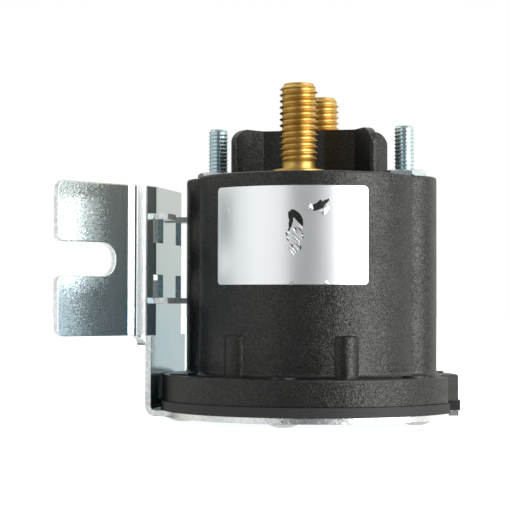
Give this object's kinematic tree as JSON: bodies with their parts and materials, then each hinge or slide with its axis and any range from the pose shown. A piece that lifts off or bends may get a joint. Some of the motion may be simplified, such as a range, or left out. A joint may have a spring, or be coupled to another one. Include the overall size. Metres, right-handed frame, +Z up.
{
  "type": "hydraulic pump relay",
  "caption": "Sealed contactor with a round black body on a zinc plated base, brass load studs split by a barrier, thin coil studs and a folded bracket with slotted ears.",
  "frame": {"origin": "on the axis of the round body, level with the rivet heads that the part stands on", "axes": "+Z up along the load studs and the plunger's travel; the load studs lie along Y; the bracket's web is on the -X side; the label faces -Y"},
  "size_m": [0.0772, 0.0668, 0.0694],
  "materials": {
    "bracket_zinc": "bright zinc plate with a fine spangle",
    "rivet_zinc": "zinc plate",
    "gasket_rubber": "matt",
    "housing_plastic": "fine grained satin",
    "stud_brass": "turned, slightly tarnished",
    "stud_zinc": "blue zinc plate",
    "nut_zinc": "zinc plate",
    "label_foil": "satin foil",
    "case_steel": "drawn",
    "core_steel": "turned",
    "spring_steel": "drawn wire",
    "copper": "bare copper",
    "winding_copper": "enamelled wire",
    "guide_brass": "drawn",
    "nylon": "natural",
    "fibre": "pressed fibre"
  },
  "bodies": {
    "base": {"mounting_bracket": "bracket_zinc", "base_rivets": "rivet_zinc", "base_gasket": "gasket_rubber", "housing": "housing_plastic", "load_stud_front": "stud_brass", "load_stud_rear": "stud_brass", "coil_stud_left": "stud_zinc", "coil_stud_right": "stud_zinc", "coil_stud_nuts": "nut_zinc", "label": "label_foil", "coil_case": "case_steel", "flux_washer": "case_steel", "bobbin": "nylon", "coil_winding": "winding_copper", "coil_lead_left": "copper", "coil_lead_right": "copper", "plunger_guide": "guide_brass", "plunger_bumper": "gasket_rubber", "fixed_core": "core_steel", "chamber_divider": "fibre", "return_spring": "spring_steel"},
    "plunger": {"plunger": "core_steel", "push_rod": "core_steel", "spring_seat": "case_steel", "contact_spring": "spring_steel", "rod_clip": "spring_steel"},
    "contact": {"contact_bush": "nylon", "contact_disc": "copper", "contact_washer": "nylon"}
  },
  "joints": [
    {"name": "plunger_slide", "type": "slide", "parent": "base", "child": "plunger", "axis": [0, 0, 1], "range_m": [0, 0.0028], "stiffness_N_per_m": 600, "springref_m": -0.005, "deforming": ["return_spring"]},
    {"name": "contact_slide", "type": "slide", "parent": "plunger", "child": "contact", "axis": [0, 0, 1], "range_m": [-0.0008, 0], "deforming": ["contact_spring"]}
  ],
  "couplings": [
    {"joint": "contact_slide", "follows": "plunger_slide", "ratio": -0.28571}
  ]
}
